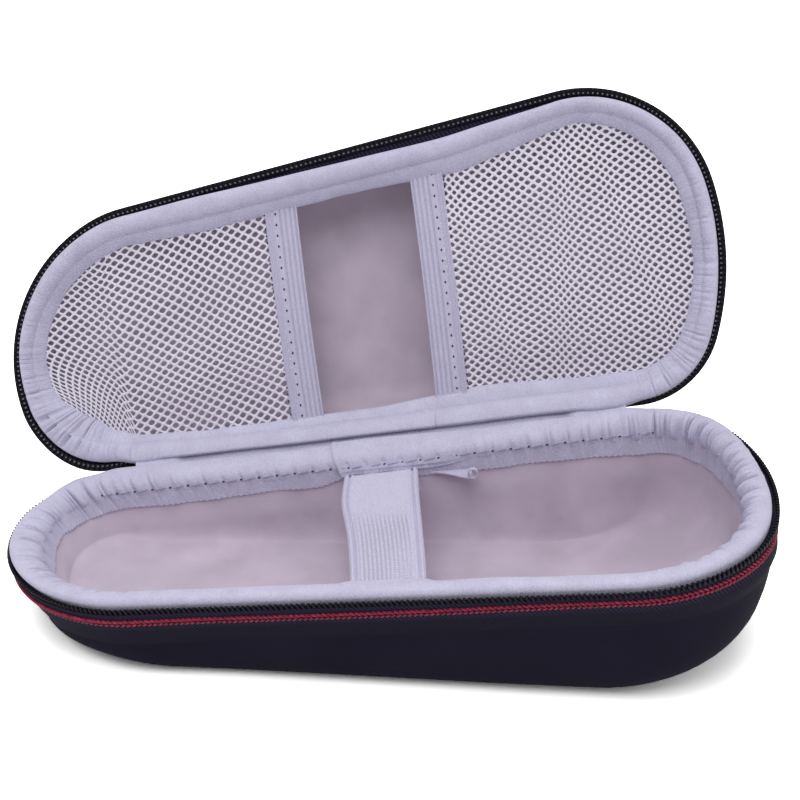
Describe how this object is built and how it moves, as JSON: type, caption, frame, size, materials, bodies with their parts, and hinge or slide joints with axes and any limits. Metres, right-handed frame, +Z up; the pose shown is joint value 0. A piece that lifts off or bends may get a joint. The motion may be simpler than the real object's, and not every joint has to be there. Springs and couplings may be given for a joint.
{
  "type": "electric shaver hard case",
  "caption": "Moulded zip-round hard case for an electric shaver, open: deep base with elastic strap, hinged lid with net pockets, two zip sliders with pulls.",
  "frame": {"origin": "on the flat underside of the base, under the middle of the base rim", "axes": "+X along the case towards its wide, deep end; +Y towards the hinge side; +Z up"},
  "size_m": [0.2031, 0.1384, 0.1241],
  "materials": {
    "shell_fabric": "matte",
    "lining_fabric": "matte",
    "binding_fabric": "matte",
    "zip_tape_fabric": "matte",
    "zip_coil": "gloss",
    "red_cord": "matte",
    "net_fabric": "matte",
    "elastic_fabric": "matte",
    "black_metal": "satin"
  },
  "bodies": {
    "base": {"base_binding_flange": "binding_fabric", "base_lining": "lining_fabric", "base_red_cord": "red_cord", "base_rim_roll": "binding_fabric", "base_shell": "shell_fabric", "base_zip_coil": "zip_coil", "base_zip_stops": "zip_coil", "base_zip_tape": "zip_tape_fabric", "binding_overlap": "binding_fabric", "binding_tail": "binding_fabric", "elastic_strap": "elastic_fabric", "hinge_cloth": "zip_tape_fabric", "hinge_lining": "binding_fabric", "strap_tabs": "elastic_fabric"},
    "lid": {"left_pocket_elastic": "elastic_fabric", "left_pocket_net": "net_fabric", "lid_binding_flange": "binding_fabric", "lid_hinge_cloth": "zip_tape_fabric", "lid_lining": "lining_fabric", "lid_red_cord": "red_cord", "lid_rim_roll": "binding_fabric", "lid_shell": "shell_fabric", "lid_zip_coil": "zip_coil", "lid_zip_stops": "zip_coil", "lid_zip_tape": "zip_tape_fabric", "right_pocket_elastic": "elastic_fabric", "right_pocket_net": "net_fabric"},
    "slider_left_body": {"slider_left": "black_metal", "slider_left_pin": "black_metal"},
    "slider_right_body": {"slider_right": "black_metal", "slider_right_pin": "black_metal"},
    "pull_left_body": {"pull_left": "black_metal"},
    "pull_right_body": {"pull_right": "black_metal"}
  },
  "joints": [
    {"name": "lid_hinge", "type": "hinge", "parent": "base", "child": "lid", "pos_m": [0, 0.04304, 0.03], "axis": [0.9919, 0, 0.1271], "range_deg": [0, 107.6]},
    {"name": "slider_left_run", "type": "slide", "parent": "base", "child": "slider_left_body", "axis": [-0.9919, 0, -0.1271], "range_m": [0, 0.01]},
    {"name": "slider_right_run", "type": "slide", "parent": "base", "child": "slider_right_body", "axis": [0.9919, 0, 0.1271], "range_m": [0, 0.01]},
    {"name": "pull_left_swing", "type": "hinge", "parent": "slider_left_body", "child": "pull_left_body", "pos_m": [-0.06294, 0.04305, 0.01962], "axis": [0.9919, 0, 0.1271], "range_deg": [0, 60]},
    {"name": "pull_right_swing", "type": "hinge", "parent": "slider_right_body", "child": "pull_right_body", "pos_m": [0.05956, 0.04305, 0.03531], "axis": [0.9919, 0, 0.1271], "range_deg": [0, 60]}
  ]
}
